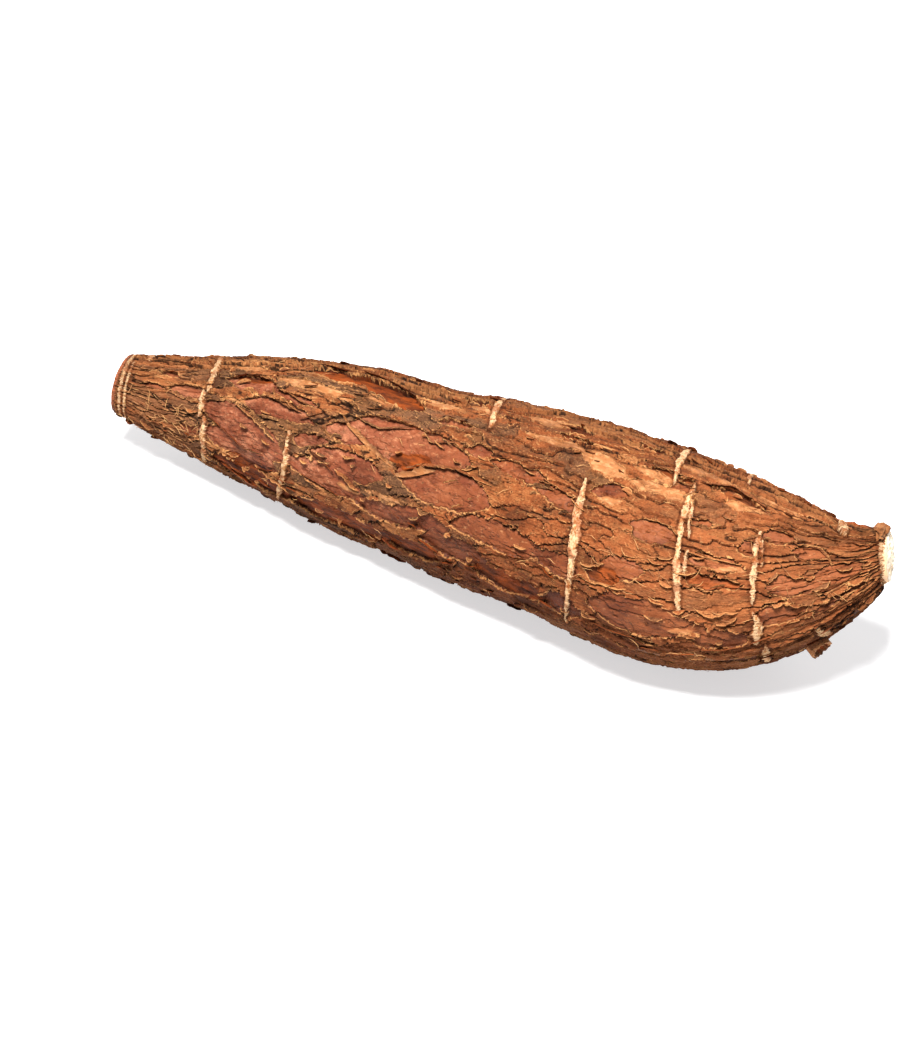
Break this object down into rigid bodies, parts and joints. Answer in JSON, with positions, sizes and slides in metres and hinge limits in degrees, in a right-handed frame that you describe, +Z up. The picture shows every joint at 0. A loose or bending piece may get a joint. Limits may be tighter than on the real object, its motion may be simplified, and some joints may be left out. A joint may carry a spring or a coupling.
{
  "type": "cassava root",
  "caption": "Whole cassava root with rough flaking brown bark, a knife-cut neck, a snapped tail and one rootlet stub, lying on its belly.",
  "frame": {"origin": "middle of the root's bounding box in plan, on the surface that it lies on", "axes": "+X from the knife-cut neck to the snapped tail, +Z up, +Y to the side that the neck and the tail both bend towards"},
  "size_m": [0.305, 0.0826, 0.0749],
  "materials": {
    "bark": "dry, rough, flaking outer bark, grey-brown to tan",
    "inner_bark": "smooth satin red-brown skin where the outer bark has flaked off",
    "scar": "dry cream-coloured corky ring scars",
    "flesh": "moist white starchy flesh at the cut neck and the snapped tail"
  },
  "bodies": {
    "root": {"cassava_root": "bark"}
  },
  "joints": []
}
